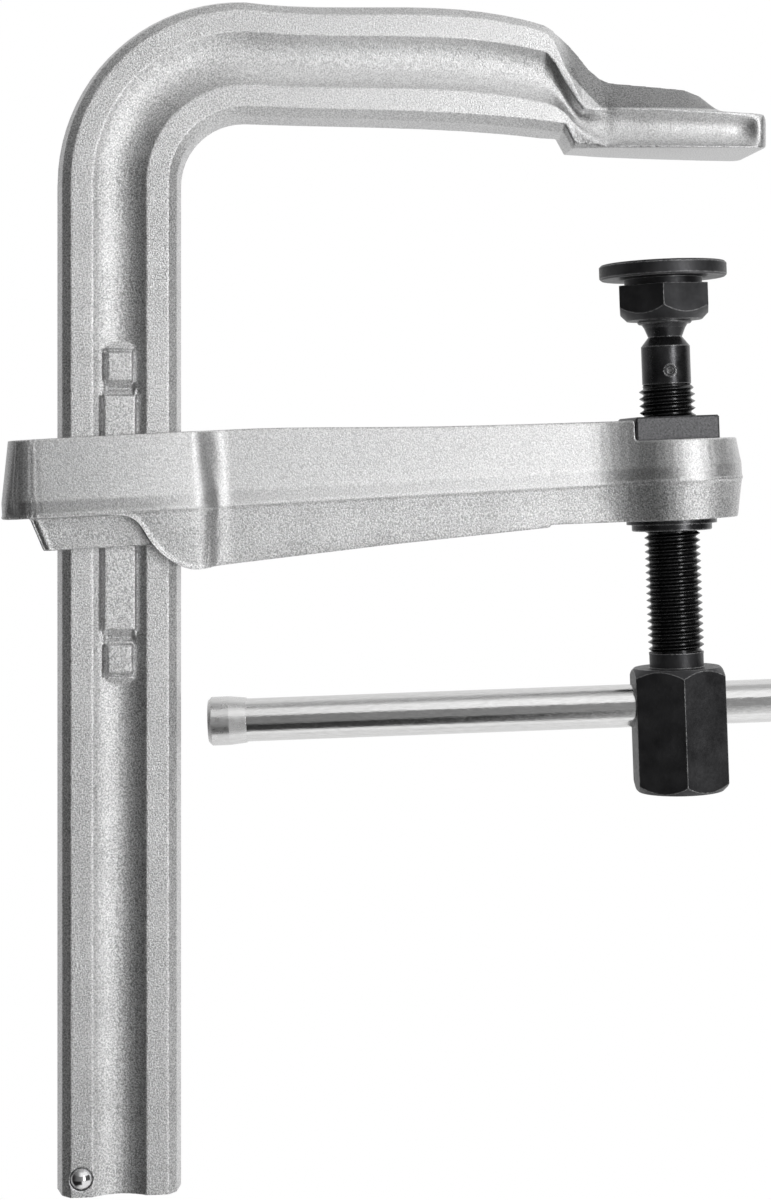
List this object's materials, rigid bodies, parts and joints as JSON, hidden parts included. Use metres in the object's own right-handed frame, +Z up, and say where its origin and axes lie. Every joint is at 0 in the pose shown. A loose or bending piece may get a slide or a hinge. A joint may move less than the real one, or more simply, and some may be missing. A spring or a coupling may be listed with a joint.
{
  "type": "bar clamp",
  "caption": "All-steel screw clamp with a forged rail and fixed jaw, a sliding arm, a swivel pressure pad and a tommy bar.",
  "frame": {"origin": "point where the clamping axis meets the fixed jaw's flat pressure face", "axes": "+Z up along the rail, +X from the rail towards the tip of the jaw, -Y the front"},
  "size_m": [0.3216, 0.0507, 0.4153],
  "materials": {
    "forged_steel": "drop-forged and zinc-plated, satin with a fine sandy grain",
    "bright_ball": "polished bearing steel",
    "dark_steel": "dark phosphated steel, rough",
    "black_oxide": "blackened steel, semi-gloss",
    "black_thread": "blackened and oiled thread, glossy",
    "sintered_steel": "sintered bearing steel, fine pores",
    "bright_zinc": "bright zinc-plated drawn steel"
  },
  "bodies": {
    "frame": {"rail": "forged_steel", "stop_ball": "bright_ball"},
    "arm": {"sliding_arm": "forged_steel", "spindle_nut": "dark_steel", "nut_washer": "black_oxide", "nut_ring": "black_oxide"},
    "thrust": {"thrust_cup": "sintered_steel"},
    "screw": {"spindle": "black_thread", "ball_stud": "black_oxide", "ball_stud_pin": "black_oxide"},
    "pad": {"pad_hex_nut": "black_oxide", "pad_disc": "black_oxide"},
    "tommy": {"tommy_bar": "bright_zinc", "tommy_cap_left": "bright_zinc", "tommy_cap_right": "bright_zinc"}
  },
  "joints": [
    {"name": "arm_slide", "type": "slide", "parent": "frame", "child": "arm", "axis": [0, 0, 1], "range_m": [-0.2125, 0.01]},
    {"name": "screw_feed", "type": "slide", "parent": "arm", "child": "thrust", "axis": [-0.0366, 0, 0.9993], "range_m": [-0.0101, 0.0226]},
    {"name": "screw_spin", "type": "hinge", "parent": "thrust", "child": "screw", "pos_m": [0, 0, 0], "axis": [-0.0366, 0, 0.9993], "range_deg": [-1440, 3240]},
    {"name": "tommy_slide", "type": "slide", "parent": "screw", "child": "tommy", "axis": [0.9933, -0.1097, 0.0364], "range_m": [-0.006, 0.139]},
    {"name": "pad_tilt", "type": "hinge", "parent": "thrust", "child": "pad", "pos_m": [0.00209, 0, -0.05696], "axis": [0, 1, 0], "range_deg": [-12, 12]}
  ],
  "couplings": [
    {"joint": "screw_feed", "follows": "screw_spin", "m_per_rad": 0.00039789}
  ]
}
